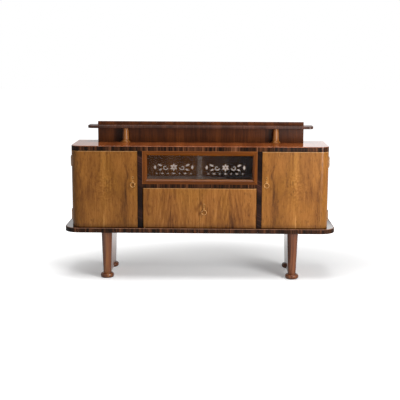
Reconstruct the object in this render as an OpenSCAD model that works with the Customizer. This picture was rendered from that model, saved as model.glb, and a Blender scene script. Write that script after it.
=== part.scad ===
// Sideboard with curved corner doors, a glazed display and a gallery shelf.
// X runs to the right, Y to the rear, Z up. The origin is on the floor, under the middle of the base.

/* [Base and legs] */
// Width of the base board over its edge band
base_w = 2000; // [1800:10:2200]
// Depth of the base board over its edge band
base_d = 490; // [460:5:560]
// Thickness of the base board
base_t = 34; // [28:1:45]
// Radius of the front corners of the base board
base_r = 115; // [80:5:150]
// How far the base board stands out in front of the doors
base_front = 40; // [30:1:60]
// How far the base board stands out beyond each side
base_side = 55; // [40:1:80]
// How far the base board stands out behind the back panel
base_back = 15; // [0:1:30]
// Height of the underside of the base board above the floor
leg_h = 357; // [250:1:450]
// Distance between each leg's middle and the end of the base board
leg_inset = 309; // [260:1:440]
// Thickness of a leg where it meets the base board
leg_top_t = 82; // [70:1:95]
// Thickness of a leg where it meets the feet
leg_foot_t = 58; // [50:1:80]
// Distance between the front feet's middle and the front edge of the base board
foot_front_inset = 92; // [54:1:120]
// Distance between the rear feet's middle and the rear edge of the base board
foot_rear_inset = 56; // [54:1:120]
// Radius of a foot
foot_r = 50; // [40:1:52]
// Height of a foot
foot_h = 38; // [34:1:50]
// Radius of a foot's rounded rim
foot_rim = 16; // [6:1:18]
// Radius of the bolts that hold the legs to the base board
leg_bolt_r = 4; // [3:0.5:6]
// Distance between the two bolts of one leg
leg_bolt_span = 210; // [120:5:240]
// Depth of a leg bolt in its leg
leg_bolt_depth = 60; // [40:5:100]

/* [Carcase] */
// Height of the carcase between the base board and the top board
body_h = 567; // [480:1:640]
// Outer radius of the front corners of the carcase and of its doors
corner_r = 70; // [50:1:85]
// Thickness of the side panels
side_t = 22; // [18:1:26]
// Width of the middle bay between its partitions
bay_w = 840; // [700:10:960]
// Thickness of the partitions and of the stiles in front of them
stile_t = 35; // [28:1:45]
// Depth of the stiles, of the middle rail and of the display frame
facing_d = 22; // [18:1:26]
// Height of the underside of the middle rail above the base board
rail_h = 295; // [240:1:340]
// Thickness of the middle rail and of the display floor behind it
rail_t = 29; // [22:1:36]
// Thickness of the back panel
back_t = 8; // [5:1:12]
// Thickness of the shelves
shelf_t = 18; // [14:1:24]
// Height of the shelves' undersides above the base board
shelf_h = 270; // [200:1:360]
// How far the shelves stand back from the door faces
shelf_back = 45; // [40:1:80]
// How much smaller the radius of a shelf's round corner is than the doors' radius
shelf_round = 10; // [0:1:30]
// Radius of the shelf pins
shelf_pin_r = 2.5; // [2:0.5:4]
// Length of a shelf pin
shelf_pin_l = 22; // [16:1:26]
// Distance between the shelf pins and the front or rear edge of the shelf
shelf_pin_inset = 70; // [60:5:100]

/* [Top board] */
// Thickness of the top board
top_t = 36; // [28:1:45]
// Thickness of the veneered upper layer that covers the edge band
top_cap_t = 4; // [4:1:12]
// Radius of the rounded upper edge of the top board
top_nose = 3; // [1:0.5:3]
// Thickness of the edge bands of the top board and the base board
band_t = 6; // [4:1:9]
// Radius of the rounded upper edge of the base board's edge band
base_nose = 4; // [1:1:5]

/* [Gallery] */
// Width of the upright gallery back
gallery_w = 1568; // [1300:2:1640]
// Height of the gallery back above the top board
gallery_h = 150; // [140:1:220]
// Thickness of the gallery back
gallery_t = 40; // [20:1:50]
// Distance between the gallery back's front face and the door faces
gallery_back_y = 350; // [330:1:370]
// Width of the gallery shelf
gallery_shelf_w = 1694; // [1300:2:1760]
// Depth of the gallery shelf
gallery_shelf_d = 125; // [90:1:180]
// Thickness of the gallery shelf
gallery_shelf_t = 22; // [16:1:28]
// Height of the gallery shelf's upper face above the top board
gallery_shelf_h = 130; // [100:1:134]
// Radius of the front corners of the gallery shelf
gallery_shelf_r = 35; // [15:1:60]
// Radius of the rounded edges of the gallery shelf
gallery_nose = 5; // [2:1:7]
// Distance of each post from the middle of the cabinet
post_x = 569; // [400:1:640]
// Distance between the posts and the gallery back's front face
post_back = 45; // [40:1:60]
// Radius of a post's flange
post_flange_r = 35; // [32:1:38]
// Radius of a post's shaft above the flange
post_foot_r = 24; // [16:0.5:25]
// Radius of a post's shaft under the shelf
post_head_r = 19.5; // [14:0.5:22]

/* [Doors] */
// Thickness of the doors
door_t = 22; // [18:1:26]
// Gap round each door
door_gap = 2; // [1.5:0.5:3]
// Distance between the side doors' hinge axes and the door faces
hinge_depth = 90; // [86:1:140]
// How far the side doors' hinge axes stand out from the side panels
hinge_out = 5; // [4:0.5:7]
// Distance of the side doors' hinges from the top and the base board
hinge_inset = 84; // [60:1:140]
// Length of the knuckles of one hinge
knuckle_l = 66; // [50:1:80]
// Radius of the knuckles
knuckle_r = 6; // [5:0.5:7]
// Radius of the hinge pins
hinge_pin_r = 2.5; // [2:0.25:3]
// Thickness of the hinge leaves
leaf_t = 2; // [1.5:0.25:2.5]
// How far the hinge leaves reach into the door and panel edges
leaf_w = 18; // [12:1:19]
// Radius of the balls on the ends of the hinge pins
finial_r = 4.4; // [3.5:0.1:4.6]
// Radius of the middle doors' pivot pins
pivot_r = 4; // [3:0.5:5]
// Depth of the pivot pins in the doors, the rail and the base board
pivot_depth = 12; // [8:1:18]

/* [Display] */
// Width of the display frame's side members
frame_side = 34; // [24:1:40]
// Width of the display frame's top member
frame_top = 33; // [24:1:38]
// Width of the display frame's bottom member
frame_bottom = 33; // [24:1:40]
// Width and depth of the slope along the frame's inner edge
frame_splay = 10; // [3:1:14]
// Depth of the tracks that the glass panes slide in
track_d = 22; // [20:1:28]
// Thickness of the glass panes
glass_t = 4; // [3:0.5:5]
// How far the two panes lie over each other when closed
glass_overlap = 30; // [10:2:60]
// Depth of the grooves in the upper track
groove_up = 12; // [8:1:16]
// Depth of the grooves in the lower track
groove_down = 6; // [4:1:10]

/* [Locks and pulls] */
// Distance of keyholes and pulls from the edge of their door
backset = 33; // [26:1:40]
// Height of the side doors' pulls above the base board
side_pull_h = 336; // [280:1:500]
// Height of the middle door's pull above the base board
middle_pull_h = 134; // [80:1:180]
// Distance of a keyhole above its pull
keyhole_up = 37; // [32:1:60]
// Middle radius of a pull ring
ring_r = 17; // [14:0.5:22]
// Radius of the rod that a pull ring is bent from
ring_rod = 1.8; // [1.2:0.1:1.8]
// How far a pull ring hangs in front of its door
ring_out = 9; // [8:0.5:12]
// Radius of the round ends of a pull's rosette
rosette_r = 7; // [6:0.5:8]
// Distance between the two round ends' middles of a pull's rosette
rosette_rise = 11; // [0:1:12]
// Width of a lock case
lock_w = 50; // [46:1:60]
// Height of a lock case
lock_h = 38; // [34:1:50]
// Depth of a lock case
lock_d = 9; // [8:0.5:12]
// Travel of a lock bolt
bolt_throw = 10; // [6:1:10]

/* [Hidden] */
$fn = 64;

// Clearances between pieces
glue_gap = 0.1;
pin_clear = 0.05;
run_clear = 0.3;
slide_clear = 0.5;

// Overshoot of cutting solids past the faces that they cut
cut = 1;

// Heights
base_top = leg_h + base_t;
body_top = base_top + body_h;
worktop = body_top + top_t;
rail_z = base_top + rail_h;
display_z = rail_z + rail_t;
shelf_z = base_top + shelf_h;
gallery_shelf_top = worktop + gallery_shelf_h;
gallery_shelf_z = gallery_shelf_top - gallery_shelf_t;

// Places across the width
leg_x = base_w / 2 - leg_inset;
side_x = base_w / 2 - base_side;
inner_x = side_x - side_t;
bay_x = bay_w / 2;
stile_x = bay_x + stile_t;
door_edge_x = stile_x + door_gap;

// Places from front to rear
base_y = -base_d / 2;
front_y = base_y + base_front;
rear_y = base_d / 2 - base_back;
facing_y = front_y + facing_d;
back_y = rear_y - back_t;
gallery_y = front_y + gallery_back_y;
foot_front_y = base_y + foot_front_inset;
foot_rear_y = -base_y - foot_rear_inset;
feet_span = foot_rear_y - foot_front_y;
leg_middle_y = foot_front_y + feet_span / 2;

// Side door hinges
hinge_x = side_x + hinge_out;
hinge_y = front_y + hinge_depth;
hinge_zs = [base_top + hinge_inset, body_top - hinge_inset];
knuckle_part = knuckle_l / 3;
knuckle_clear_r = knuckle_r + run_clear;
hinge_reach = knuckle_l / 2 + 2 * finial_r + run_clear;
panel_knuckles = [[-knuckle_l / 2, -knuckle_part / 2], [knuckle_part / 2, knuckle_l / 2]];
door_knuckles = [[run_clear - knuckle_part / 2, knuckle_part / 2 - run_clear]];

// Middle doors
pivot_x = bay_x - door_gap - door_t / 2;
pivot_y = front_y + door_t / 2;
middle_gap = door_gap / 2;

// Glass panes and their tracks
groove_w = glass_t + 2 * slide_clear;
groove_web = (track_d - 2 * groove_w) / 3;
front_groove_y = facing_y + groove_web;
rear_groove_y = front_groove_y + groove_w + groove_web;
pane_z = display_z + frame_bottom - groove_down + run_clear;
pane_top = body_top - frame_top + groove_up - slide_clear * 4;
pane_end_clear = 3;
pane_w = bay_x - pane_end_clear + glass_overlap / 2;

// Shelf outlines
shelf_y = front_y + shelf_back;
shelf_r = corner_r - shelf_round;

// Leg bolts
bolt_head_r = 2.4 * leg_bolt_r;
bolt_head_h = leg_bolt_r;

// Posts
post_h = gallery_shelf_z - worktop;
post_y = gallery_y - post_back;
flange_h = 7;
flange_rim = 3;
collar_h = 7;
collar_flare = 3;
bead_h = 5;
bead_inset = 1;

// Locks and pulls
lock_edge = 3;
bolt_h = 16;
bolt_t = 4.5;
bolt_l = 30;
bolt_y = facing_y + (lock_d - bolt_t) / 2;
key_r = 3.2;
key_slot_w = 3;
key_slot_h = 9;
plate_t = 1.2;
plate_r = 7;
plate_h = 24;
plate_drop = 3;
rosette_t = 2;
eye_r = 5;
eye_w = 5;
eye_hole_r = ring_rod + slide_clear;
neck_r = 2.6;
side_pull_x = door_edge_x + backset;
side_pull_z = base_top + side_pull_h;
middle_pull_x = middle_gap + backset;
middle_pull_z = base_top + middle_pull_h;

// Colours
walnut = [0.60, 0.38, 0.18];
figured_walnut = [0.62, 0.40, 0.22];
macassar = [0.16, 0.10, 0.08];
polished_top = [0.42, 0.23, 0.14];
cherry = [0.62, 0.32, 0.10];
leg_wood = [0.45, 0.27, 0.17];
inner_wood = [0.55, 0.40, 0.26];
brass = [0.78, 0.62, 0.36];
steel = [0.60, 0.60, 0.62];
pane_blue = [0.70, 0.80, 0.82, 0.4];

// Outline of a board with square rear corners and round front corners
module board_outline(half_w, y_front, y_rear, r) {
    difference() {
        translate([-half_w, y_front])
            square([2 * half_w, y_rear - y_front]);
        for (s = [0, 1])
            mirror([s, 0])
                translate([half_w - r, y_front + r])
                    difference() {
                        translate([0, -r - cut])
                            square([r + cut, r + cut]);
                        circle(r);
                    }
    }
}

// Corner waste outside a rounded edge, with the sharp corner at the origin
module nose_profile(nose) {
    difference() {
        translate([-nose, -nose])
            square([nose + cut, nose + cut]);
        translate([-nose, -nose])
            circle(nose);
    }
}

// Waste to cut from the upper edge of a board with round front corners
module nose_waste(half_w, y_front, y_rear, r, z, nose) {
    translate([-(half_w - r), y_front, z])
        rotate([90, 0, 90])
            linear_extrude(2 * (half_w - r))
                mirror([1, 0])
                    nose_profile(nose);
    for (s = [0, 1])
        mirror([s, 0, 0]) {
            translate([half_w, y_rear + cut, z])
                rotate([90, 0, 0])
                    linear_extrude(y_rear + cut - y_front - r)
                        nose_profile(nose);
            translate([half_w - r, y_front + r, z])
                rotate([0, 0, -90])
                    rotate_extrude(angle = 90)
                        translate([r, 0])
                            nose_profile(nose);
        }
}

// Strip of edge band round the front and sides of a board
module edge_band(half_w, y_front, y_rear, r, z, h) {
    inset = band_t;
    translate([0, 0, z])
        linear_extrude(h)
            difference() {
                board_outline(half_w, y_front, y_rear, r);
                board_outline(half_w - inset, y_front + inset, y_rear + cut, r - inset);
            }
}

// Board inside an edge band
module banded_core(half_w, y_front, y_rear, r, z, h) {
    inset = band_t + glue_gap;
    translate([0, 0, z])
        linear_extrude(h)
            board_outline(half_w - inset, y_front + inset, y_rear, r - inset);
}

module leg_bolt_places() {
    for (x = [-leg_x, leg_x])
        for (y = [-leg_bolt_span / 2, leg_bolt_span / 2])
            translate([x, leg_middle_y + y, 0])
                children();
}

module base_board() {
    color(polished_top)
        difference() {
            banded_core(base_w / 2, base_y, -base_y, base_r, leg_h, base_t);
            leg_bolt_places() {
                translate([0, 0, leg_h - cut])
                    cylinder(h = base_t + 2 * cut, r = leg_bolt_r + run_clear);
                translate([0, 0, base_top - bolt_head_h])
                    cylinder(h = bolt_head_h + cut, r = bolt_head_r + run_clear);
            }
            for (x = [-pivot_x, pivot_x])
                translate([x, pivot_y, base_top - pivot_depth - run_clear])
                    cylinder(h = pivot_depth + run_clear + cut, r = pivot_r + pin_clear);
        }
}

module base_edge_band() {
    color(macassar)
        difference() {
            edge_band(base_w / 2, base_y, -base_y, base_r, leg_h, base_t);
            nose_waste(base_w / 2, base_y, -base_y, base_r, base_top, base_nose);
        }
}

module top_board() {
    color(polished_top)
        difference() {
            union() {
                banded_core(side_x, front_y, rear_y, corner_r, body_top, top_t - top_cap_t);
                translate([0, 0, worktop - top_cap_t])
                    linear_extrude(top_cap_t)
                        board_outline(side_x, front_y, rear_y, corner_r);
            }
            nose_waste(side_x, front_y, rear_y, corner_r, worktop, top_nose);
        }
}

module top_edge_band() {
    color(macassar)
        edge_band(side_x, front_y, rear_y, corner_r, body_top, top_t - top_cap_t);
}

// Leg: a tapered slab whose front and rear edges are round
module leg() {
    h = leg_h - foot_h;
    color(leg_wood)
        difference() {
            union() {
                translate([leg_x, foot_rear_y, foot_h])
                    rotate([90, 0, 0])
                        linear_extrude(feet_span)
                            polygon([
                                [-leg_foot_t / 2, 0], [leg_foot_t / 2, 0],
                                [leg_top_t / 2, h], [-leg_top_t / 2, h]
                            ]);
                for (y = [foot_front_y, foot_rear_y])
                    translate([leg_x, y, foot_h])
                        cylinder(h = h, r1 = leg_foot_t / 2, r2 = leg_top_t / 2);
            }
            leg_bolt_places()
                translate([0, 0, leg_h - leg_bolt_depth])
                    cylinder(h = leg_bolt_depth + cut, r = leg_bolt_r + pin_clear);
        }
}

module leg_bolts() {
    color(steel)
        leg_bolt_places() {
            translate([0, 0, leg_h - leg_bolt_depth + cut])
                cylinder(h = leg_bolt_depth - cut + base_t - bolt_head_h, r = leg_bolt_r);
            translate([0, 0, base_top - bolt_head_h])
                cylinder(h = bolt_head_h, r = bolt_head_r);
        }
}

// Foot: a turned pad with a rounded rim
module foot(x, y) {
    color(leg_wood)
        translate([x, y, 0])
            rotate_extrude() {
                square([foot_r - foot_rim, foot_h]);
                translate([0, foot_rim])
                    square([foot_r, foot_h - 2 * foot_rim]);
                for (z = [foot_rim, foot_h - foot_rim])
                    intersection() {
                        translate([foot_r - foot_rim, z])
                            circle(foot_rim);
                        square([foot_r, foot_h]);
                    }
            }
}

module hinge_place(z) {
    translate([hinge_x, hinge_y, z])
        children();
}

// Waste cut from a door or panel edge so that the knuckles fit beside it
module knuckle_waste() {
    for (z = hinge_zs)
        hinge_place(z)
            translate([0, 0, -hinge_reach])
                cylinder(h = 2 * hinge_reach, r = knuckle_clear_r);
}

// Mortise for a hinge leaf, on the side of the joint that dir points to
module leaf_mortise(dir) {
    near = door_gap / 2 - cut;
    deep = door_gap / 2 + leaf_t;
    for (z = hinge_zs)
        translate([side_x - leaf_w, hinge_y + (dir > 0 ? near : -deep), z - knuckle_l / 2])
            cube([leaf_w + cut, deep - near, knuckle_l]);
}

// Blind holes for the shelf pins in a vertical face at x
module shelf_pin_holes(x) {
    for (y = [shelf_y + shelf_pin_inset, back_y - shelf_pin_inset])
        translate([x - shelf_pin_l / 2 - cut, y, shelf_z - shelf_pin_r])
            rotate([0, 90, 0])
                cylinder(h = shelf_pin_l + 2 * cut, r = shelf_pin_r + pin_clear);
}

module side_panel() {
    y0 = hinge_y + door_gap / 2;
    color(walnut)
        difference() {
            translate([inner_x, y0, base_top])
                cube([side_t, rear_y - y0, body_h]);
            knuckle_waste();
            leaf_mortise(1);
            shelf_pin_holes(inner_x);
        }
}

module partition() {
    pocket_z = side_pull_z + keyhole_up;
    color(inner_wood)
        difference() {
            translate([bay_x, facing_y, base_top])
                cube([stile_t, back_y - facing_y, body_h]);
            shelf_pin_holes(stile_x);
            translate([
                stile_x - bolt_throw, bolt_y - slide_clear,
                pocket_z - bolt_h / 2 - slide_clear
            ])
                cube([bolt_throw + cut, bolt_t + 2 * slide_clear, bolt_h + 2 * slide_clear]);
        }
}

module stile() {
    color(macassar)
        translate([bay_x, front_y, base_top])
            cube([stile_t, facing_d, body_h]);
}

module middle_rail() {
    color(macassar)
        difference() {
            translate([-bay_x, front_y, rail_z])
                cube([bay_w, facing_d, rail_t]);
            for (x = [-pivot_x, pivot_x])
                translate([x, pivot_y, rail_z - cut])
                    cylinder(h = pivot_depth + run_clear + cut, r = pivot_r + pin_clear);
        }
}

module display_floor() {
    color(inner_wood)
        translate([-bay_x, facing_y, rail_z])
            cube([bay_w, back_y - facing_y, rail_t]);
}

module back_panel() {
    color(inner_wood)
        translate([-inner_x, back_y, base_top])
            cube([2 * inner_x, back_t, body_h]);
}

// Waste that slopes a frame member's inner front edge, which runs along X through the origin
module splay_waste() {
    reach = frame_splay + cut;
    translate([-bay_x, 0, 0])
        rotate([90, 0, 90])
            linear_extrude(bay_w)
                polygon([[-cut, -cut], [reach, -cut], [-cut, reach]]);
}

// Member of the display frame with mitred ends, from its outline in the X-Z plane, less its splay
module frame_member(points) {
    color(cherry)
        difference() {
            translate([0, facing_y, 0])
                rotate([90, 0, 0])
                    linear_extrude(facing_d)
                        polygon(points);
            children();
        }
}

module frame_top_member() {
    frame_member([
        [-bay_x, body_top], [bay_x, body_top],
        [bay_x - frame_side, body_top - frame_top], [frame_side - bay_x, body_top - frame_top]
    ])
        translate([0, front_y, body_top - frame_top])
            splay_waste();
}

module frame_bottom_member() {
    frame_member([
        [-bay_x, display_z], [bay_x, display_z],
        [bay_x - frame_side, display_z + frame_bottom], [frame_side - bay_x, display_z + frame_bottom]
    ])
        translate([0, front_y, display_z + frame_bottom])
            mirror([0, 0, 1])
                splay_waste();
}

module frame_right_member() {
    frame_member([
        [bay_x, display_z], [bay_x, body_top],
        [bay_x - frame_side, body_top - frame_top], [bay_x - frame_side, display_z + frame_bottom]
    ])
        translate([bay_x - frame_side, front_y, display_z])
            rotate([0, 90, 0])
                splay_waste();
}

// Grooved strip that both panes run in, with its grooves cut from z upward
module glass_track(z, h, groove_z, groove_h) {
    color(inner_wood)
        difference() {
            translate([-bay_x, facing_y, z])
                cube([bay_w, track_d, h]);
            for (y = [front_groove_y, rear_groove_y])
                translate([-bay_x - cut, y, groove_z])
                    cube([bay_w + 2 * cut, groove_w, groove_h]);
        }
}

module upper_glass_track() {
    z = body_top - frame_top;
    glass_track(z, frame_top, z - cut, groove_up + cut);
}

module lower_glass_track() {
    z = display_z;
    glass_track(z, frame_bottom, z + frame_bottom - groove_down, groove_down + cut);
}

module glass_pane(x, y) {
    color(pane_blue)
        translate([x, y + slide_clear, pane_z])
            cube([pane_w, glass_t, pane_top - pane_z]);
}

module left_glass_pane() {
    glass_pane(pane_end_clear - bay_x, rear_groove_y);
}

module right_glass_pane() {
    glass_pane(bay_x - pane_end_clear - pane_w, front_groove_y);
}

// Shelf of the right bay, with a round corner behind the curved door
module shelf() {
    x0 = stile_x + run_clear;
    x1 = inner_x - run_clear;
    y1 = back_y - run_clear;
    color(inner_wood)
        translate([0, 0, shelf_z])
            linear_extrude(shelf_t)
                difference() {
                    translate([x0, shelf_y])
                        square([x1 - x0, y1 - shelf_y]);
                    translate([x1 - shelf_r, shelf_y + shelf_r])
                        difference() {
                            translate([0, -shelf_r - cut])
                                square([shelf_r + cut, shelf_r + cut]);
                            circle(shelf_r);
                        }
                }
}

module shelf_pins() {
    color(steel)
        for (s = [0, 1])
            mirror([s, 0, 0])
                for (x = [stile_x, inner_x])
                    for (y = [shelf_y + shelf_pin_inset, back_y - shelf_pin_inset])
                        translate([x - shelf_pin_l / 2, y, shelf_z - shelf_pin_r])
                            rotate([0, 90, 0])
                                cylinder(h = shelf_pin_l, r = shelf_pin_r);
}

module gallery_back() {
    edge = 4;
    color(polished_top)
        translate([-gallery_w / 2, gallery_y, worktop])
            rotate([90, 0, 90])
                linear_extrude(gallery_w) {
                    square([gallery_t, gallery_h - edge]);
                    translate([edge, 0])
                        square([gallery_t - 2 * edge, gallery_h]);
                    for (y = [edge, gallery_t - edge])
                        translate([y, gallery_h - edge])
                            circle(edge);
                }
}

module gallery_shelf() {
    half_w = gallery_shelf_w / 2;
    y_front = gallery_y - gallery_shelf_d;
    mid_z = gallery_shelf_top - gallery_shelf_t / 2;
    color(macassar)
        difference() {
            translate([0, 0, gallery_shelf_z])
                linear_extrude(gallery_shelf_t)
                    board_outline(half_w, y_front, gallery_y, gallery_shelf_r);
            for (s = [0, 1])
                translate([0, 0, mid_z])
                    mirror([0, 0, s])
                        nose_waste(
                            half_w, y_front, gallery_y, gallery_shelf_r,
                            gallery_shelf_t / 2, gallery_nose
                        );
        }
}

// Turned post: flange, collar, bead and tapered shaft
module post() {
    collar_r = post_foot_r + collar_flare;
    waist_r = post_foot_r - bead_inset;
    shaft_z = flange_h + collar_h + bead_h;
    color(cherry)
        translate([post_x, post_y, worktop]) {
            rotate_extrude() {
                square([post_flange_r - flange_rim, flange_h]);
                translate([0, flange_rim])
                    square([post_flange_r, flange_h - 2 * flange_rim]);
                for (z = [flange_rim, flange_h - flange_rim])
                    translate([post_flange_r - flange_rim, z])
                        circle(flange_rim);
            }
            translate([0, 0, flange_h])
                cylinder(h = collar_h, r1 = collar_r, r2 = waist_r);
            translate([0, 0, flange_h + collar_h])
                rotate_extrude() {
                    square([waist_r, bead_h]);
                    translate([waist_r, bead_h / 2])
                        circle(bead_h / 2);
                }
            translate([0, 0, shaft_z])
                cylinder(h = post_h - shaft_z, r1 = post_foot_r, r2 = post_head_r);
        }
}

// Keyhole at the origin of the X-Z plane, cut along Y
module keyhole(y0, y1) {
    translate([0, y1, 0])
        rotate([90, 0, 0])
            linear_extrude(y1 - y0) {
                circle(key_r);
                translate([-key_slot_w / 2, -key_slot_h])
                    square([key_slot_w, key_slot_h]);
            }
}

// Side door: a flat front, a curved corner and a short return to the hinges
module side_door() {
    h = body_h - 2 * door_gap;
    r_in = corner_r - door_t;
    y_end = hinge_y - door_gap / 2;
    color(walnut)
        difference() {
            translate([0, 0, base_top + door_gap])
                linear_extrude(h) {
                    translate([door_edge_x, front_y])
                        square([side_x - corner_r - door_edge_x, door_t]);
                    translate([side_x - corner_r, front_y + corner_r])
                        intersection() {
                            difference() {
                                circle(corner_r);
                                circle(r_in);
                            }
                            translate([0, -corner_r])
                                square(corner_r);
                        }
                    translate([side_x - door_t, front_y + corner_r])
                        square([door_t, y_end - front_y - corner_r]);
                }
            knuckle_waste();
            leaf_mortise(-1);
            translate([side_pull_x, 0, side_pull_z + keyhole_up])
                keyhole(front_y - cut, front_y + door_t + cut);
        }
}

// Middle door: its outer edge is round about the pivot
module middle_door() {
    color(figured_walnut)
        difference() {
            translate([0, 0, base_top + door_gap])
                linear_extrude(rail_h - 2 * door_gap) {
                    translate([middle_gap, front_y])
                        square([pivot_x - middle_gap, door_t]);
                    translate([pivot_x, pivot_y])
                        circle(door_t / 2);
                }
            for (z = [base_top + door_gap, rail_z - door_gap])
                translate([pivot_x, pivot_y, z - pivot_depth])
                    cylinder(h = 2 * pivot_depth, r = pivot_r + pin_clear);
        }
}

module middle_right_door() {
    difference() {
        middle_door();
        translate([middle_pull_x, 0, middle_pull_z + keyhole_up])
            keyhole(front_y - cut, front_y + door_t + cut);
    }
}

// Pivot pins at the foot and the head of a middle door, the lower one with a thrust collar
module middle_pivots() {
    foot_z = base_top + door_gap;
    head_z = rail_z - door_gap;
    color(brass)
        translate([pivot_x, pivot_y, 0]) {
            translate([0, 0, base_top - pivot_depth])
                cylinder(h = 2 * pivot_depth + door_gap, r = pivot_r);
            translate([0, 0, base_top + run_clear])
                cylinder(h = foot_z - base_top - run_clear, r = 2 * pivot_r);
            translate([0, 0, head_z - pivot_depth])
                cylinder(h = 2 * pivot_depth + door_gap, r = pivot_r);
        }
}

// Cylinders about a hinge axis over the given spans of height
module knuckles(spans, r, grow) {
    for (span = spans)
        translate([0, 0, span[0] - grow])
            cylinder(h = span[1] - span[0] + 2 * grow, r = r);
}

// Hinge leaf at y0 from the axis, with its own knuckles and room for the other leaf's
module hinge_leaf(y0, own, other) {
    color(brass)
        difference() {
            union() {
                difference() {
                    translate([side_x - leaf_w - hinge_x, y0, -knuckle_l / 2])
                        cube([leaf_w + hinge_out, leaf_t, knuckle_l]);
                    knuckles(other, knuckle_clear_r, run_clear);
                }
                knuckles(own, knuckle_r, 0);
            }
            knuckles([[-knuckle_l / 2, knuckle_l / 2]], hinge_pin_r + pin_clear, cut);
        }
}

module panel_leaves() {
    for (z = hinge_zs)
        hinge_place(z)
            hinge_leaf(door_gap / 2, panel_knuckles, door_knuckles);
}

module door_leaves() {
    for (z = hinge_zs)
        hinge_place(z)
            hinge_leaf(-door_gap / 2 - leaf_t, door_knuckles, panel_knuckles);
}

module hinge_pins() {
    color(brass)
        for (z = hinge_zs)
            hinge_place(z) {
                translate([0, 0, -knuckle_l / 2 - finial_r / 2])
                    cylinder(h = knuckle_l + finial_r, r = hinge_pin_r);
                for (s = [-1, 1])
                    translate([0, 0, s * (knuckle_l / 2 + finial_r)])
                        sphere(finial_r);
            }
}

// Lock case on the back of a door whose closing edge is at x = edge
module lock_case(edge, z) {
    color(steel)
        difference() {
            translate([edge + lock_edge, facing_y, z - lock_h / 2])
                cube([lock_w, lock_d, lock_h]);
            translate([edge + lock_edge - cut, bolt_y - run_clear, z - bolt_h / 2 - run_clear])
                cube([bolt_l + cut + run_clear, bolt_t + 2 * run_clear, bolt_h + 2 * run_clear]);
        }
}

module lock_bolt(edge, z) {
    color(brass)
        translate([edge + lock_edge, bolt_y, z - bolt_h / 2])
            cube([bolt_l, bolt_t, bolt_h]);
}

// Outline of an upright plate with round ends, from the middle of its lower end
module upright_plate(r, rise) {
    translate([-r, 0])
        square([2 * r, rise]);
    for (v = [0, rise])
        translate([0, v])
            circle(r);
}

// Rosette with the eye that carries the ring, and the keyhole plate above it
module pull_fittings(x, z) {
    plate_rise = plate_h - 2 * plate_r;
    color(brass)
        translate([x, front_y, z]) {
            difference() {
                union() {
                    rotate([90, 0, 0])
                        linear_extrude(rosette_t)
                            upright_plate(rosette_r, rosette_rise);
                    rotate([90, 0, 0])
                        cylinder(h = ring_out - eye_r / 2, r = neck_r);
                    translate([-eye_w / 2, -ring_out, 0])
                        rotate([0, 90, 0])
                            cylinder(h = eye_w, r = eye_r);
                }
                translate([-eye_w, -ring_out, 0])
                    rotate([0, 90, 0])
                        cylinder(h = 2 * eye_w, r = eye_hole_r);
            }
            translate([0, 0, keyhole_up])
                difference() {
                    rotate([90, 0, 0])
                        linear_extrude(plate_t)
                            translate([0, plate_drop - plate_rise])
                                upright_plate(plate_r, plate_rise);
                    keyhole(-plate_t - cut, cut);
                }
        }
}

module pull_ring(x, z) {
    color(brass)
        translate([x, front_y - ring_out, z - ring_r])
            rotate([90, 0, 0])
                rotate_extrude()
                    translate([ring_r, 0])
                        circle(ring_rod);
}

module left() {
    mirror([1, 0, 0])
        children();
}

module both_sides() {
    children();
    left()
        children();
}

base_board();
base_edge_band();
top_board();
top_edge_band();
left() side_panel();  // left_side_panel
side_panel();  // right_side_panel
left() partition();  // left_partition
partition();  // right_partition
left() stile();  // left_stile
stile();  // right_stile
middle_rail();
display_floor();
back_panel();
frame_top_member();
frame_bottom_member();
left() frame_right_member();  // frame_left_member
frame_right_member();
upper_glass_track();
lower_glass_track();
left_glass_pane();
right_glass_pane();
left() shelf();  // left_shelf
shelf();  // right_shelf
shelf_pins();
left() leg();  // left_leg
leg();  // right_leg
leg_bolts();
foot(-leg_x, foot_front_y);  // front_left_foot
foot(leg_x, foot_front_y);  // front_right_foot
foot(-leg_x, foot_rear_y);  // rear_left_foot
foot(leg_x, foot_rear_y);  // rear_right_foot
gallery_back();
gallery_shelf();
left() post();  // left_post
post();  // right_post
left() side_door();  // left_door
side_door();  // right_door
left() middle_door();  // middle_left_door
middle_right_door();
both_sides() panel_leaves();  // panel_hinge_leaves
both_sides() hinge_pins();
left() door_leaves();  // left_door_hinge_leaves
door_leaves();  // right_door_hinge_leaves
left() middle_pivots();  // middle_left_pivots
middle_pivots();  // middle_right_pivots
left() lock_case(door_edge_x, side_pull_z + keyhole_up);  // left_lock_case
lock_case(door_edge_x, side_pull_z + keyhole_up);  // right_lock_case
lock_case(middle_gap, middle_pull_z + keyhole_up);  // middle_lock_case
left() lock_bolt(door_edge_x, side_pull_z + keyhole_up);  // left_lock_bolt
lock_bolt(door_edge_x, side_pull_z + keyhole_up);  // right_lock_bolt
lock_bolt(middle_gap, middle_pull_z + keyhole_up);  // middle_lock_bolt
left() pull_fittings(side_pull_x, side_pull_z);  // left_pull_fittings
pull_fittings(side_pull_x, side_pull_z);  // right_pull_fittings
pull_fittings(middle_pull_x, middle_pull_z);  // middle_pull_fittings
left() pull_ring(side_pull_x, side_pull_z);  // left_pull_ring
pull_ring(side_pull_x, side_pull_z);  // right_pull_ring
pull_ring(middle_pull_x, middle_pull_z);  // middle_pull_ring
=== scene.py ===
import math

import bmesh
import bpy
from mathutils import Matrix, Vector


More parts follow.
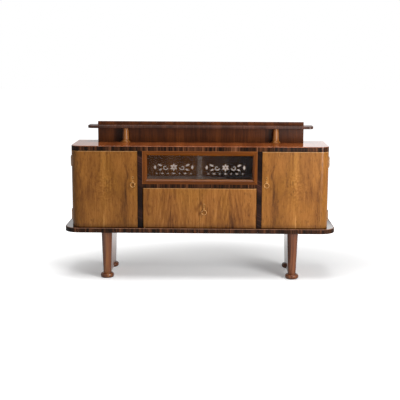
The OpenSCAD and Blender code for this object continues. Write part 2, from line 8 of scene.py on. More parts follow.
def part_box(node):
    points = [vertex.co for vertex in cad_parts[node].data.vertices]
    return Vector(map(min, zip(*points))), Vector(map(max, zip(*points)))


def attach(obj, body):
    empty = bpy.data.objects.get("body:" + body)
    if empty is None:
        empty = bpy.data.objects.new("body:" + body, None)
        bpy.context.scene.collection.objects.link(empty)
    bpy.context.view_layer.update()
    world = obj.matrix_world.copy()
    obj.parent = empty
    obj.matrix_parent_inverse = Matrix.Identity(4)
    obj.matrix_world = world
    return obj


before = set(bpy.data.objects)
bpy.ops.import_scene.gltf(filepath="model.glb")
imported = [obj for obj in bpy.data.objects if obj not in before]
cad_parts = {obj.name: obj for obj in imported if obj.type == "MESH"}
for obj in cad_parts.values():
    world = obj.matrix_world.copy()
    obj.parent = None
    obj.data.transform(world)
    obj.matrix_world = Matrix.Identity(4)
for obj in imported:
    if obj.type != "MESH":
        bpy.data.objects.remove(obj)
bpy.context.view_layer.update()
MM = 0.001


def new_object(name, data):
    made = bpy.data.objects.new(name, data)
    bpy.context.scene.collection.objects.link(made)
    return made


def mesh_object(name, bm, look):
    """Object of the shape in bm, in one material. It frees bm."""
    mesh = bpy.data.meshes.new(name)
    bm.to_mesh(mesh)
    bm.free()
    mesh.materials.append(look)
    return new_object(name, mesh)


# Camera: place in metres, angles in degrees, lens and sensor in millimetres
CAMERA_PLACE = (0.112, -6.7114, 1.7095)
HEADING, TILT, ROLL = 0.959, 80.319, 0.236
LENS, SENSOR = 81.0, 36.0


def turned(angle, axis):
    return Matrix.Rotation(math.radians(angle), 4, axis)


camera = new_object("camera", bpy.data.cameras.new("camera"))
camera.data.lens = LENS
camera.data.sensor_width = SENSOR
camera.matrix_world = (
    Matrix.Translation(CAMERA_PLACE) @ turned(HEADING, "Z") @ turned(TILT, "X") @ turned(ROLL, "Z")
)
bpy.context.scene.camera = camera
bpy.context.scene.view_settings.view_transform = "Standard"


# Colours and shader graphs
MIX_A, MIX_B, MIX_COLOUR = 6, 7, 2  # colour sockets of the Mix node: two inputs and the output


def linear(red, green, blue):
    """Linear colour from 0..255 display values."""
    def one(v):
        v /= 255.0
        return v / 12.92 if v <= 0.04045 else ((v + 0.055) / 1.055) ** 2.4
    return (one(red), one(green), one(blue), 1.0)


def tones(*entries):
    return [(position, linear(*colour)) for position, colour in entries]


class Graph:
    """Node tree of one material or world, written as plain expressions."""

    def __init__(self, owner):
        owner.use_nodes = True
        self.owner = owner
        self.tree = owner.node_tree
        self.tree.nodes.clear()

    def node(self, kind, **settings):
        made = self.tree.nodes.new("ShaderNode" + kind)
        for key, value in settings.items():
            setattr(made, key, value)
        return made

    def feed(self, socket, value):
        if isinstance(value, bpy.types.NodeSocket):
            self.tree.links.new(value, socket)
        else:
            socket.default_value = value

    def math(self, operation, *values):
        made = self.node("Math", operation=operation)
        for socket, value in zip(made.inputs, values):
            self.feed(socket, value)
        return made.outputs[0]

    def add(self, *values):
        total = values[0]
        for value in values[1:]:
            total = self.math("ADD", total, value)
        return total

    def sub(self, a, b):
        return self.math("SUBTRACT", a, b)

    def mul(self, a, b):
        return self.math("MULTIPLY", a, b)

    def gap(self, a, b):
        """Distance between two numbers."""
        return self.math("ABSOLUTE", self.sub(a, b))

    def length(self, a, b):
        """Length of the vector (a, b)."""
        return self.math("SQRT", self.add(self.mul(a, a), self.mul(b, b)))

    def swing(self, noise, amount):
        """Noise as a shift to both sides, amount wide in all."""
        return self.mul(self.sub(noise, 0.5), amount)

    def vector(self, x, y, z=0.0):
        made = self.node("CombineXYZ")
        for socket, value in zip(made.inputs, (x, y, z)):
            self.feed(socket, value)
        return made.outputs[0]

    def here(self):
        """The point in the part's own frame."""
        return self.node("TexCoord").outputs["Object"]

    def place(self):
        """X, Y and Z of that point."""
        split = self.node("SeparateXYZ")
        self.feed(split.inputs[0], self.here())
        return split.outputs[0], split.outputs[1], split.outputs[2]

    def noise(self, vector, scale=1.0, detail=2.0, roughness=0.5, distortion=0.0):
        made = self.node("TexNoise")
        self.feed(made.inputs["Vector"], vector)
        made.inputs["Scale"].default_value = scale
        made.inputs["Detail"].default_value = detail
        made.inputs["Roughness"].default_value = roughness
        made.inputs["Distortion"].default_value = distortion
        return made.outputs[0]

    def span(self, value, low, high, to_low=0.0, to_high=1.0, smooth=True):
        """Maps low..high to to_low..to_high, clamped."""
        made = self.node("MapRange", interpolation_type="SMOOTHSTEP" if smooth else "LINEAR")
        for socket, v in zip(made.inputs, (value, low, high, to_low, to_high)):
            self.feed(socket, v)
        return made.outputs[0]

    def ramp(self, value, stops):
        made = self.node("ValToRGB")
        elements = made.color_ramp.elements
        while len(elements) < len(stops):
            elements.new(0.5)
        for element, (position, colour) in zip(elements, stops):
            element.position = position
            element.color = colour
        self.feed(made.inputs[0], value)
        return made.outputs[0]

    def mix(self, share, a, b, blend="MIX"):
        made = self.node("Mix", data_type="RGBA", blend_type=blend)
        self.feed(made.inputs[0], share)
        self.feed(made.inputs[MIX_A], a)
        self.feed(made.inputs[MIX_B], b)
        return made.outputs[MIX_COLOUR]

    def bump(self, height, strength, distance):
        made = self.node("Bump")
        made.inputs["Strength"].default_value = strength
        made.inputs["Distance"].default_value = distance
        self.feed(made.inputs["Height"], height)
        return made.outputs[0]

    def surface(self, shader):
        out = self.node("OutputWorld" if isinstance(self.owner, bpy.types.World) else "OutputMaterial")
        self.feed(out.inputs["Surface"], shader)
        return self.owner

    def principled(self, **values):
        made = self.node("BsdfPrincipled")
        for key, value in values.items():
            self.feed(made.inputs[key.replace("_", " ")], value)
        return self.surface(made.outputs[0])


def material(name):
    return Graph(bpy.data.materials.new(name))


def near(g, value, reach, *places):
    """1 where value lies at one of the places, falling to 0 at that reach from it."""
    gaps = [g.gap(value, place) for place in places]
    least = gaps[0]
    for gap in gaps[1:]:
        least = g.math("MINIMUM", least, gap)
    return g.span(least, 0.0, reach, 1.0, 0.0)


# Wood: pairs are noise features per metre across and along the grain
SWAY_GRAIN = (3.0, 2.2)
PATCH_GRAIN = (6.5, 3.5)
FLECK_GRAIN = (130.0, 24.0)
PORE_GRAIN = (950.0, 42.0)
DRIFT_GRAIN = 9.0
SWAY = 0.035  # metres over which the grain lines wander
CONTRAST = 2.1
CAST_CUT, FLECK_CUT, PORE_CUT = (0.42, 0.66), (0.58, 0.68), (0.60, 0.72)  # noise: none below, full above
FLECK = (44, 24, 10)
PORE_SHADE = (0.42, 0.38, 0.36, 1.0)
GRAIN_HEIGHT = 0.4 * MM
FRONT = 0.205  # from the part's middle to the front of its body


def grain(g, a, b, seed, across, along, **kind):
    """Noise at a across and b along the grain, with so many features per metre each way."""
    return g.noise(g.vector(g.mul(a, across), g.mul(b, along), seed), **kind)


def wood(name, stops, across, along, seed, figure=None, broad=10.0, streak=70.0, run=1.2,
         shares=(0.46, 0.34, 0.20), drift=0.0, cast=None, flecks=0.0, pores=0.35, rough=0.34,
         coat=0.30, coat_rough=0.06, coat_ior=1.4, relief=0.16, marks=None):
    """Polished wood. across and along give metres across and along the grain. Its tone mixes broad
    figure, streaks and fine fibre by the shares, and drift and figure add to it. Each layer of noise
    has its own offset from the seed."""
    g = material(name)
    x, y, z = g.place()
    a = across(g, x, y, z)
    b = along(g, x, y, z)
    a = g.add(a, g.swing(grain(g, a, b, seed, *SWAY_GRAIN, detail=1.0), SWAY))
    wide = grain(g, a, b, seed + 1.7, broad, run * 0.6, detail=3.0, roughness=0.55)
    middle = grain(g, a, b, seed + 5.1, streak, run * 2.5, detail=4.0, roughness=0.6)
    fine = grain(g, a, b, seed + 9.3, streak * 12.0, run * 14.0, detail=2.0)
    tone = g.add(g.mul(wide, shares[0]), g.mul(middle, shares[1]), g.mul(fine, shares[2]))
    tone = g.math("MULTIPLY_ADD", g.sub(tone, 0.5), CONTRAST, 0.5)
    if drift:
        slow = g.noise(g.vector(g.mul(a, DRIFT_GRAIN), seed + 2.9), detail=2.0)
        tone = g.add(tone, g.swing(slow, drift))
    if figure:
        tone = g.add(tone, figure(g, x, y, z, middle, wide))
    colour = g.ramp(tone, stops)
    if cast:
        patch = grain(g, a, b, seed + 7.7, *PATCH_GRAIN, detail=2.0)
        colour = g.mix(g.span(patch, *CAST_CUT), colour, g.mix(1.0, colour, cast, "MULTIPLY"))
    if flecks:
        dash = grain(g, a, b, seed + 8.8, *FLECK_GRAIN, detail=2.0, distortion=0.6)
        colour = g.mix(g.mul(g.span(dash, *FLECK_CUT), flecks), colour, linear(*FLECK))
    pit = g.span(grain(g, a, b, seed + 3.3, *PORE_GRAIN, detail=1.0), *PORE_CUT)
    colour = g.mix(g.mul(pit, pores), colour, g.mix(1.0, colour, PORE_SHADE, "MULTIPLY"))
    if marks:
        colour = marks(g, colour, x, y, z)
    coarse = g.add(g.mul(fine, 0.5), g.mul(pit, 0.5))
    height = g.add(g.mul(fine, 0.4), g.mul(pit, -0.8))
    return g.principled(
        Base_Color=colour, Roughness=g.span(coarse, 0.2, 0.9, rough - 0.05, rough + 0.12),
        Specular_IOR_Level=0.0, Coat_Weight=coat, Coat_Roughness=coat_rough, Coat_IOR=coat_ior,
        Normal=g.bump(height, relief, GRAIN_HEIGHT),
    )


def along_x(g, x, y, z):
    return x


def along_y(g, x, y, z):
    return y


def along_z(g, x, y, z):
    return z


def around(g, x, y, z):
    """Distance round the cabinet from the middle of its front, along its faces."""
    return g.add(g.math("ABSOLUTE", x), y, FRONT)


def x_and_y(g, x, y, z):
    return g.add(x, y)


def slanted_z(g, x, y, z):
    return g.add(z, g.mul(x, 0.5), g.mul(y, 0.3))


# Figure of the doors: places in metres, tones as parts of the colour ramp
SIDE_SEAM = 0.706  # round the cabinet, from the middle of its front
SIDE_LINE = 0.165  # from the seam to the wavy line
SIDE_PAIR = 0.026  # from the seam to the short dark lines at its head
WAVE_GRAIN, WAVE = 7.0, 0.09  # features per metre of the wavy line, and how wide it swings
MOTTLE_GRAIN = 62.0
BURL_Z = 0.70
FLAME_FOOT = 0.391
FLAME_X = (-0.212, 0.2205)
RING_RATE = 210.0  # radians per metre
SWIRLS = (
    # x, z, size, force
    (-0.364, 0.522, 0.020, 0.6),
    (0.004, 0.530, 0.030, 1.5),
    (0.356, 0.527, 0.022, 0.6),
)


def side_figure(seed):
    """Book match of a side door: at the seam a light column, a mottled burl and a light flame at the
    foot, and on both sides of it a short dark line and a long wavy one with a soft halo."""
    def figure(g, x, y, z, middle, wide):
        wave = g.swing(g.noise(g.vector(g.mul(z, WAVE_GRAIN), seed), detail=1.0), WAVE)
        d = g.gap(around(g, x, y, z), SIDE_SEAM)
        column = g.span(d, 0.0, 0.035, 0.08, 0.0)
        off = g.math("ABSOLUTE", g.add(d, wave, -SIDE_LINE))
        line = g.span(off, 0.0, 0.012, -0.18, 0.0)
        fade = g.mul(g.span(z, 0.52, 0.66, 0.25, 1.0), g.span(z, 0.84, 0.93, 1.0, 0.3))
        halo = g.span(off, 0.006, 0.04, -0.06, 0.0)
        pair = g.mul(near(g, d, 0.014, SIDE_PAIR), g.span(z, 0.76, 0.88, 0.0, -0.20))
        flame = g.mul(near(g, d, 0.010, 0.0), g.span(z, 0.46, 0.56, 0.24, 0.0))
        high = g.sub(z, BURL_Z)
        far = g.math("SQRT", g.add(g.mul(d, d), g.mul(g.mul(high, high), 0.5)))
        mottle = g.noise(g.vector(g.mul(x, MOTTLE_GRAIN), g.mul(z, MOTTLE_GRAIN), seed + 4.0), detail=3.0)
        burl = g.swing(mottle, g.span(far, 0.03, 0.13, 0.9, 0.0))
        return g.add(column, g.mul(line, fade), halo, pair, flame, burl)
    return figure


def middle_figure(g, x, y, z, middle, wide):
    """Nested flames that rise at the seams of the middle doors, with dark curls beside them."""
    d = g.math("MINIMUM", *[g.gap(x, seam) for seam in FLAME_X])
    q = g.add(d, g.mul(g.sub(z, FLAME_FOOT), 0.20), g.swing(middle, 0.045))
    rings = g.math("SINE", g.mul(q, RING_RATE))
    inside = g.span(q, 0.10, 0.17, 1.0, 0.0)
    core = g.span(q, 0.020, 0.058, -0.19, 0.0)
    stem = g.mul(g.span(d, 0.0, 0.005, -0.20, 0.0), g.span(z, 0.46, 0.62, 1.0, 0.3))
    total = g.add(core, stem, g.mul(g.mul(rings, inside), 0.07))
    for cx, cz, size, force in SWIRLS:
        dx = g.mul(g.sub(x, cx), 1.0 / size)
        dz = g.mul(g.sub(z, cz), 0.55 / size)
        r = g.add(g.length(dx, dz), g.swing(middle, 1.6), g.swing(wide, 2.4))
        curl = g.mul(g.math("SINE", g.mul(r, 5.2)), g.span(r, 0.2, 2.0, 1.0, 0.0))
        eye = g.span(r, 0.2, 1.8, -0.12, 0.0)
        total = g.add(total, g.mul(g.add(g.mul(curl, 0.16), eye), force))
    return total


# Paler arrises as painted highlight and wear, and darker feet of doors and legs: reaches and heights in
# metres, colours as 0..255 display values
BASE_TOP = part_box("base_board")[1].z
BODY_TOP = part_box("left_door")[1].z
MIDDLE_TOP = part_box("middle_left_door")[1].z
FRAME_LOW, FRAME_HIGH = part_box("frame_bottom_member"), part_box("frame_top_member")
FRAME_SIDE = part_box("frame_right_member")
ARRIS, DOOR_ARRIS = 0.005, 0.006
DOOR_FOOT = 0.040
FEET_DARK_LOW, FEET_DARK_HIGH = 0.008, 0.018
FOOT_DARK, FEET_DARK = (34, 16, 8), (26, 16, 10)
PALE_WALNUT, PALE_CHERRY, PALE_EBONY = (214, 170, 120), (180, 118, 70), (196, 150, 124)
HIGHLIGHT_WEAR_GRAIN = 60.0


def highlight_and_wear(g, colour, share, pale, seed):
    """Paler colour where share is high, broken up by noise: painted highlight, and polish thinned by wear.
    """
    x, _, z = g.place()
    broken = g.noise(g.vector(g.mul(x, HIGHLIGHT_WEAR_GRAIN), g.mul(z, HIGHLIGHT_WEAR_GRAIN), seed), detail=3.0)
    return g.mix(g.mul(share, g.span(broken, 0.25, 0.7, 0.45, 1.0)), colour, linear(*pale))


def door_marks(foot, head):
    """A paler upper arris, painted highlight and wear, and colour that darkens towards the foot."""
    def marks(g, colour, x, y, z):
        # Darker towards the foot of the door.
        darker_foot = g.span(z, foot, foot + DOOR_FOOT, 0.32, 0.0)
        # Paler upper arris: painted highlight and wear.
        painted_sheen_and_wear = g.mul(near(g, z, DOOR_ARRIS, head), 0.5)
        return highlight_and_wear(g, g.mix(darker_foot, colour, linear(*FOOT_DARK)), painted_sheen_and_wear, PALE_WALNUT, seed=61.0)
    return marks


def rail_highlights_and_wear(g, colour, x, y, z):
    """Paler upper arrises: painted highlight and wear."""
    painted_sheen_and_wear = g.mul(near(g, z, ARRIS, FRAME_LOW[1].z, FRAME_HIGH[1].z), 0.3)
    return highlight_and_wear(g, colour, painted_sheen_and_wear, PALE_CHERRY, seed=67.0)


def upright_highlights_and_wear(g, colour, x, y, z):
    """Paler outer arrises: painted highlight and wear."""
    painted_sheen_and_wear = g.mul(near(g, g.math("ABSOLUTE", x), ARRIS, FRAME_SIDE[1].x), 0.3)
    return highlight_and_wear(g, colour, painted_sheen_and_wear, PALE_CHERRY, seed=73.0)


def edge_highlight_and_wear(g, colour, x, y, z):
    """Paler upper arris of the base: painted highlight and wear."""
    return highlight_and_wear(g, colour, g.mul(near(g, z, ARRIS, BASE_TOP), 0.35), PALE_EBONY, seed=89.0)


def darker_feet(g, colour, x, y, z):
    """The feet are darker near the floor."""
    return g.mix(g.span(z, FEET_DARK_LOW, FEET_DARK_HIGH, 0.5, 0.0), colour, linear(*FEET_DARK))


# Tones of the woods: place in the ramp and display colour
WALNUT = tones((0.0, (60, 34, 12)), (0.28, (106, 64, 24)), (0.52, (131, 83, 34)),
               (0.78, (151, 101, 47)), (1.0, (176, 126, 70)))
FIGURED = tones((0.0, (48, 24, 9)), (0.25, (96, 56, 22)), (0.50, (128, 80, 34)),
                (0.75, (149, 99, 48)), (1.0, (176, 126, 72)))
MACASSAR = tones((0.0, (9, 5, 3)), (0.38, (22, 11, 5)), (0.56, (50, 27, 13)),
                 (0.74, (88, 52, 31)), (1.0, (126, 82, 58)))
STILE = tones((0.0, (8, 5, 4)), (0.40, (20, 12, 9)), (0.58, (38, 22, 17)),
              (0.76, (70, 42, 34)), (1.0, (120, 80, 70)))
TOP = tones((0.0, (60, 28, 11)), (0.35, (104, 51, 21)), (0.6, (130, 68, 30)),
            (0.85, (156, 88, 42)), (1.0, (184, 114, 60)))
LEDGE = tones((0.0, (26, 11, 4)), (0.35, (46, 21, 8)), (0.6, (61, 28, 11)),
              (0.85, (82, 42, 18)), (1.0, (110, 64, 32)))
UPSTAND = tones((0.0, (34, 14, 5)), (0.4, (66, 32, 13)), (0.65, (90, 46, 18)),
                (0.88, (120, 66, 28)), (1.0, (156, 96, 46)))
SHELF = tones((0.0, (28, 15, 10)), (0.45, (56, 32, 22)), (0.7, (84, 50, 36)),
              (0.9, (112, 72, 54)), (1.0, (140, 98, 78)))
CHERRY = tones((0.0, (40, 17, 3)), (0.35, (78, 38, 7)), (0.6, (100, 52, 11)),
               (0.85, (126, 70, 20)), (1.0, (154, 94, 38)))
GOLDEN = tones((0.0, (88, 48, 18)), (0.35, (136, 82, 34)), (0.6, (162, 104, 46)),
               (0.85, (190, 132, 68)), (1.0, (216, 164, 100)))
LEG = tones((0.0, (36, 17, 8)), (0.30, (78, 40, 20)), (0.55, (106, 60, 34)),
            (0.80, (132, 84, 44)), (1.0, (164, 116, 70)))
INNER = tones((0.0, (46, 24, 6)), (0.35, (90, 52, 18)), (0.6, (112, 68, 26)),
              (0.85, (132, 84, 36)), (1.0, (152, 104, 52)))
LINING = tones((0.0, (150, 130, 118)), (0.5, (198, 176, 164)), (1.0, (224, 206, 196)))
OLIVE = (0.96, 0.98, 0.84, 1.0)

# Woods: what several share comes first
FACED = {"cast": OLIVE, "flecks": 0.42, "coat_rough": 0.20}
BANDED = {"run": 0.6, "shares": (0.50, 0.42, 0.08), "pores": 0.2, "coat": 0.15}
BOARD = {"broad": 9.0, "streak": 60.0, "coat_ior": 1.5, "relief": 0.015}
FRAMED = {"broad": 24.0, "streak": 120.0}
PLAIN = {"coat": 0.1, "coat_rough": 0.3, "rough": 0.5}

walnut = wood("walnut", WALNUT, around, along_z, seed=2.0, figure=side_figure(3.1), streak=95.0, run=3.4,
              shares=(0.44, 0.31, 0.25), marks=door_marks(BASE_TOP, BODY_TOP), **FACED)
figured_walnut = wood("figured_walnut", FIGURED, along_x, along_z, seed=4.0, figure=middle_figure,
                      broad=20.0, streak=110.0, run=3.0, shares=(0.46, 0.29, 0.25),
                      marks=door_marks(BASE_TOP, MIDDLE_TOP), **FACED)
macassar_band = wood("macassar_band", MACASSAR, x_and_y, along_z, seed=11.0, broad=52.0, streak=120.0,
                     drift=0.6, **BANDED)
macassar_edge = wood("macassar_edge", MACASSAR, x_and_y, along_z, seed=97.0, broad=52.0, streak=120.0,
                     drift=0.6, marks=edge_highlight_and_wear, **BANDED)
macassar_rail = wood("macassar_rail", MACASSAR, along_x, along_z, seed=71.0, broad=60.0, streak=135.0,
                     drift=0.5, **BANDED)
macassar_stile = wood("macassar_stile", STILE, slanted_z, along_x, seed=13.0, broad=9.0, streak=95.0,
                      run=0.8, shares=(0.52, 0.38, 0.10), pores=0.2, coat=0.12)
macassar_shelf = wood("macassar_shelf", SHELF, along_x, along_y, seed=17.0, broad=16.0, streak=90.0,
                      run=0.8, shares=(0.50, 0.36, 0.14), pores=0.2, coat=0.45, coat_rough=0.14,
                      relief=0.02)
polished_top = wood("polished_top", TOP, along_x, along_y, seed=19.0, coat=0.7, coat_rough=0.08, **BOARD)
polished_base = wood("polished_base", LEDGE, along_x, along_y, seed=59.0, coat=0.9, coat_rough=0.05,
                     **BOARD)
upstand_wood = wood("upstand_wood", UPSTAND, along_x, along_z, seed=23.0, broad=11.0, streak=60.0,
                    drift=0.35, coat_rough=0.20)
cherry_rail = wood("cherry_rail", CHERRY, along_z, along_x, seed=29.0, marks=rail_highlights_and_wear, **FRAMED)
cherry_upright = wood("cherry_upright", CHERRY, along_x, along_z, seed=31.0, marks=upright_highlights_and_wear,
                      **FRAMED)
golden_wood = wood("golden_wood", GOLDEN, x_and_y, along_z, seed=37.0, broad=40.0, streak=160.0,
                   coat=0.7, coat_rough=0.30)
leg_wood = wood("leg_wood", LEG, x_and_y, along_z, seed=41.0, broad=34.0, streak=72.0, run=0.8,
                shares=(0.48, 0.42, 0.10), coat=0.7, coat_rough=0.05, marks=darker_feet)
inner_upright = wood("inner_upright", INNER, x_and_y, along_z, seed=43.0, **PLAIN)
inner_level = wood("inner_level", INNER, along_y, along_x, seed=47.0, **PLAIN)
display_base = wood("display_base", LINING, along_x, along_y, seed=53.0, coat_rough=0.08, relief=0.02)

# Metal and glass: scales are noise features per metre
CLOUD_SHARE, FINE_SHARE, FINE_TIMES = 0.8, 0.2, 14.0
FINE_HEIGHT = 0.2 * MM
PANE_TINT = (0.022, 0.022, 0.024, 1.0)
# Pale strip at the middle of the panes: painted reflection of their overlapping edges, and rubbing wear.
SHEEN_AND_WEAR_GLASS = (116, 108, 102)
SHEEN_STRIP_HALF, SHEEN_STRIP_GRAIN = 0.048, 220.0  # half the width of the rubbed strip, and its streaks


def metal(name, low, high, rough, scale):
    g = material(name)
    cloud = g.noise(g.here(), scale=scale, detail=4.0)
    fine = g.noise(g.here(), scale=scale * FINE_TIMES, detail=2.0)
    tone = g.add(g.mul(cloud, CLOUD_SHARE), g.mul(fine, FINE_SHARE))
    return g.principled(
        Base_Color=g.ramp(tone, tones((0.3, low), (0.7, high))), Metallic=1.0,
        Roughness=g.span(cloud, 0.3, 0.7, rough, rough + 0.14), Normal=g.bump(fine, 0.08, FINE_HEIGHT),
    )


def sheen_and_wear_strip(g, x):
    """Share of the pale strip, painted reflection of the overlapping pane edges and rubbing wear, highest
    at the middle, where the two panes slide past each other.
    """
    rub = g.noise(g.vector(g.mul(x, SHEEN_STRIP_GRAIN), 3.0, 5.0), detail=2.0)
    return g.mul(near(g, x, SHEEN_STRIP_HALF, 0.0), g.span(rub, 0.3, 0.7, 0.1, 0.9))


def pane_glass():
    g = material("pane_glass")
    smear = g.noise(g.here(), scale=9.0, detail=3.0)
    painted_sheen_and_wear = sheen_and_wear_strip(g, g.place()[0])
    return g.principled(
        Base_Color=g.mix(painted_sheen_and_wear, PANE_TINT, linear(*SHEEN_AND_WEAR_GLASS)), IOR=1.45,
        Roughness=g.span(smear, 0.35, 0.75, 0.0, 0.04), Alpha=g.span(painted_sheen_and_wear, 0.0, 1.0, 0.10, 0.20),
    )


def frosted_glass():
    g = material("frosted_glass")
    grit = g.noise(g.here(), scale=900.0, detail=2.0)
    cloud = g.noise(g.here(), scale=45.0, detail=2.0)
    tone = g.add(g.mul(grit, 0.4), g.mul(cloud, 0.6))
    return g.principled(
        Base_Color=g.ramp(tone, tones((0.3, (122, 108, 98)), (0.7, (164, 148, 136)))),
        Roughness=0.62, Specular_IOR_Level=0.3, Normal=g.bump(grit, 0.3, FINE_HEIGHT),
    )


brass = metal("brass", (134, 94, 50), (212, 166, 108), rough=0.24, scale=60.0)
dull_brass = metal("dull_brass", (100, 66, 30), (174, 126, 72), rough=0.34, scale=60.0)
aged_brass = metal("aged_brass", (88, 66, 48), (150, 122, 96), rough=0.34, scale=60.0)
steel = metal("steel", (140, 138, 134), (186, 186, 188), rough=0.28, scale=50.0)
blackened_iron = metal("blackened_iron", (26, 22, 19), (54, 47, 42), rough=0.46, scale=50.0)
glass = pane_glass()
frosted = frosted_glass()

# Materials of the parts
LOOKS = {
    polished_top: ["top_board"],
    polished_base: ["base_board"],
    upstand_wood: ["gallery_back"],
    macassar_band: ["top_edge_band"],
    macassar_rail: ["middle_rail"],
    macassar_edge: ["base_edge_band"],
    macassar_stile: ["left_stile", "right_stile"],
    macassar_shelf: ["gallery_shelf"],
    walnut: ["left_side_panel", "right_side_panel", "left_door", "right_door"],
    figured_walnut: ["middle_left_door", "middle_right_door"],
    cherry_rail: ["frame_top_member", "frame_bottom_member"],
    cherry_upright: ["frame_left_member", "frame_right_member"],
    golden_wood: ["left_post", "right_post"],
    leg_wood: ["left_leg", "right_leg", "front_left_foot", "front_right_foot", "rear_left_foot",
               "rear_right_foot"],
    inner_upright: ["left_partition", "right_partition", "back_panel"],
    display_base: ["display_floor"],
    inner_level: ["left_shelf", "right_shelf", "upper_glass_track", "lower_glass_track"],
    glass: ["left_glass_pane", "right_glass_pane"],
    steel: ["shelf_pins", "leg_bolts"],
    blackened_iron: ["left_lock_case", "right_lock_case", "middle_lock_case"],
    aged_brass: ["panel_hinge_leaves", "hinge_pins", "left_door_hinge_leaves", "right_door_hinge_leaves"],
    dull_brass: ["left_pull_fittings", "right_pull_fittings", "middle_pull_fittings"],
    brass: ["middle_left_pivots", "middle_right_pivots", "left_lock_bolt", "right_lock_bolt",
            "middle_lock_bolt", "left_pull_ring", "right_pull_ring", "middle_pull_ring"],
}
for look, names in LOOKS.items():
    for name in names:
        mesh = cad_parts[name].data
        mesh.materials.clear()
        mesh.materials.append(look)

# Worn arrises: width in millimetres, and the parts that have it
ARRISES = {
    2.2: ["left_door", "right_door", "middle_left_door", "middle_right_door", "gallery_shelf"],
    1.6: ["frame_top_member", "frame_bottom_member", "frame_left_member", "frame_right_member"],
    1.0: ["left_stile", "right_stile", "middle_rail", "left_side_panel", "right_side_panel",
          "left_shelf", "right_shelf", "top_board", "base_board", "gallery_back"],
}
SHARP_ANGLE = 40
for width, names in ARRISES.items():
    for name in names:
        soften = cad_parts[name].modifiers.new("arris", "BEVEL")
        soften.width = width * MM
        soften.segments = 2
        soften.limit_method = "ANGLE"
        soften.angle_limit = math.radians(SHARP_ANGLE)
        soften.use_clamp_overlap = True

# Frosted design of the panes: metres, with x from its own middle and z from the floor
DESIGN_CENTRES = {"left": -0.191, "right": 0.188}  # where that middle lies in the part
DESIGN_GAP, DESIGN_DEPTH = 0.05 * MM, 0.2 * MM
LEAF_STEPS, SCROLL_STEPS = 7, 26
LEAF_BELLY = 0.8  # below 1, a leaf is widest nearer to its start
DESIGN_Z = 0.836
PETALS, PETAL_FROM, PETAL_LENGTH, PETAL_WIDTH = 6, 0.004, 0.025, 0.0135
SCROLL_X, SCROLL_Z, SCROLL_RADIUS = 0.062, 0.834, 0.019
SCROLL_START, SCROLL_SWEEP, SCROLL_HALF = 190, 330, 0.0036
SCROLL_WIND, SCROLL_TAPER = 0.70, 0.40  # shares of its radius and of its width that a scroll loses
LEAF_X = 0.086
LEAVES = (
    # z, length, width, angle
    (0.846, 0.034, 0.0145, 70),
    (0.824, 0.028, 0.0120, 116),
)
END_X, END_HALF_W, END_HALF_H = 0.137, 0.0100, 0.0175
ROW_Z, ROW_PITCH, ROW_WIDE, ROW_NARROW, ROW_HALF_H = 0.790, 0.042, 0.0130, 0.0065, 0.0055


def leaf(cx, cz, length, width, angle):
    """Outline of a pointed leaf that starts at (cx, cz) and points at angle from upright, to the right."""
    points = []
    for side in (1, -1):
        for i in range(LEAF_STEPS):
            t = i / LEAF_STEPS if side > 0 else 1 - i / LEAF_STEPS
            points.append((side * width / 2 * math.sin(math.pi * t ** LEAF_BELLY), length * t))
    c, s = math.cos(math.radians(angle)), math.sin(math.radians(angle))
    return [(cx + px * c + pz * s, cz - px * s + pz * c) for px, pz in points]


def lozenge(cx, cz, half_w, half_h):
    return [(cx + half_w, cz), (cx, cz + half_h), (cx - half_w, cz), (cx, cz - half_h)]


def volute(cx, cz, side):
    """Outer and inner edge of a tapering scroll that winds in round (cx, cz)."""
    outer, inner = [], []
    for i in range(SCROLL_STEPS):
        t = i / (SCROLL_STEPS - 1)
        r = SCROLL_RADIUS * (1 - SCROLL_WIND * t)
        angle = math.radians(SCROLL_START + SCROLL_SWEEP * t)
        c, s = math.cos(angle), math.sin(angle)
        half = SCROLL_HALF * (1 - SCROLL_TAPER * t)
        outer.append((cx + side * (r + half) * c, cz + (r + half) * s))
        inner.append((cx + side * (r - half) * c, cz + (r - half) * s))
    return outer, inner


def ornament():
    """Outlines and scrolls of one design: a rosette between leafy scrolls, over a row of lozenges."""
    outlines, scrolls = [], []
    for i in range(PETALS):
        angle = 360 / PETALS * i
        c, s = math.cos(math.radians(angle)), math.sin(math.radians(angle))
        outlines.append(leaf(PETAL_FROM * s, DESIGN_Z + PETAL_FROM * c, PETAL_LENGTH, PETAL_WIDTH, angle))
    for side in (-1, 1):
        scrolls.append(volute(side * SCROLL_X, SCROLL_Z, side))
        for z, length, width, angle in LEAVES:
            outlines.append(leaf(side * LEAF_X, z, length, width, angle * side))
        outlines.append(lozenge(side * END_X, DESIGN_Z, END_HALF_W, END_HALF_H))
    for i in range(-3, 4):
        outlines.append(lozenge(i * ROW_PITCH, ROW_Z, ROW_WIDE if i % 2 == 0 else ROW_NARROW, ROW_HALF_H))
    return outlines, scrolls


def tube(bm, rings):
    """Closed solid through rings of vertices."""
    for a, b in zip(rings, rings[1:]):
        for i in range(len(a)):
            j = (i + 1) % len(a)
            bm.faces.new((a[i], a[j], b[j], b[i]))
    bm.faces.new(rings[0])
    bm.faces.new(rings[-1][::-1])


def pane_ornament(side, centre):
    """The frosted design in front of one pane, on whose body it rides."""
    pane = side + "_glass_pane"
    far_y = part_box(pane)[0].y - DESIGN_GAP
    near_y = far_y - DESIGN_DEPTH
    bm = bmesh.new()

    def ring(points):
        return [bm.verts.new((centre + x, y, z)) for x, y, z in points]

    outlines, scrolls = ornament()
    for outline in outlines:
        tube(bm, [ring([(x, y, z) for x, z in outline]) for y in (near_y, far_y)])
    for outer, inner in scrolls:
        tube(bm, [ring([(ox, near_y, oz), (ix, near_y, iz), (ix, far_y, iz), (ox, far_y, oz)])
                  for (ox, oz), (ix, iz) in zip(outer, inner)])
    bmesh.ops.recalc_face_normals(bm, faces=bm.faces)
    piece = mesh_object(side + "_pane_ornament", bm, frosted)
    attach(piece, pane)


for side, centre in DESIGN_CENTRES.items():
    pane_ornament(side, centre)

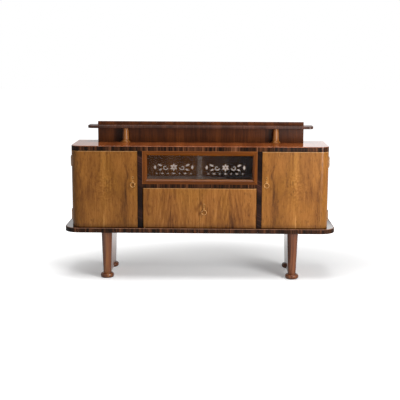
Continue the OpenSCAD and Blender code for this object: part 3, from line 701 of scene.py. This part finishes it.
# World, floor and lamps: metres and watts
WORLD_LIGHT = 0.16
FLOOR_RADIUS = 30.0
FLOOR_GREY = (0.80, 0.80, 0.80, 1.0)
SHADE_X, SHADE_SCALE = 0.42, (0.64, 0.8)  # middle of the shaded floor, and its squeeze along x and y
SHADE_REACH = (0.60, 1.5)
FLOOR_GLOW = (0.24, 1.0)  # at the middle and far out
LAMPS = (
    # name, place, target, size, power
    ("key", (2.8, -2.9, 1.45), (0.2, 0.0, 0.75), (1.5, 2.2), 187.0),
    ("top", (0.1, -0.7, 3.4), (0.0, 0.0, 0.4), (2.8, 1.8), 88.0),
    ("front", (1.45, -4.1, 0.7), (0.7, 0.0, 0.95), (1.3, 1.1), 13.0),
    ("rear", (1.65, 3.5, 1.45), (0.9, 0.0, 1.0), (1.3, 0.7), 2.4),
)


def shown(g):
    """1 for what is seen directly, in a reflection or through glass, else 0."""
    path = g.node("LightPath")
    direct = g.math("MAXIMUM", path.outputs["Is Camera Ray"], path.outputs["Is Transmission Ray"])
    return g.math("MAXIMUM", direct, path.outputs["Is Glossy Ray"])


def make_world():
    """White wherever it is seen, and a soft light of WORLD_LIGHT on everything else."""
    g = Graph(bpy.data.worlds.new("world"))
    light = g.node("Background")
    g.feed(light.inputs["Color"], (1.0, 1.0, 1.0, 1.0))
    g.feed(light.inputs["Strength"], g.span(shown(g), 0.0, 1.0, WORLD_LIGHT, 1.0, smooth=False))
    return g.surface(light.outputs[0])


def make_floor():
    """Pale floor that keeps the soft shadow and runs out into the white background. Its glow is weakest
    round SHADE_X, so the floor there is partly painted shade.
    """
    g = material("floor")
    diffuse = g.node("BsdfDiffuse")
    g.feed(diffuse.inputs["Color"], FLOOR_GREY)
    x, y, _ = g.place()
    reach = g.length(g.mul(g.sub(x, SHADE_X), SHADE_SCALE[0]), g.mul(y, SHADE_SCALE[1]))
    glow = g.node("Emission")
    # Weaker glow round SHADE_X: painted shade on the floor under and beside the cabinet.
    g.feed(glow.inputs["Strength"], g.mul(shown(g), g.span(reach, *SHADE_REACH, *FLOOR_GLOW)))
    both = g.node("AddShader")
    g.feed(both.inputs[0], diffuse.outputs[0])
    g.feed(both.inputs[1], glow.outputs[0])
    bm = bmesh.new()
    bmesh.ops.create_circle(bm, cap_ends=True, segments=64, radius=FLOOR_RADIUS)
    mesh_object("floor", bm, g.surface(both.outputs[0]))


def area_light(name, place, target, size, power):
    data = bpy.data.lights.new(name, "AREA")
    data.shape = "RECTANGLE"
    data.size, data.size_y = size
    data.energy = power
    lamp = new_object(name, data)
    lamp.location = place
    lamp.rotation_euler = (Vector(target) - Vector(place)).to_track_quat("-Z", "Y").to_euler()


bpy.context.scene.world = make_world()
make_floor()
for lamp in LAMPS:
    area_light(*lamp)
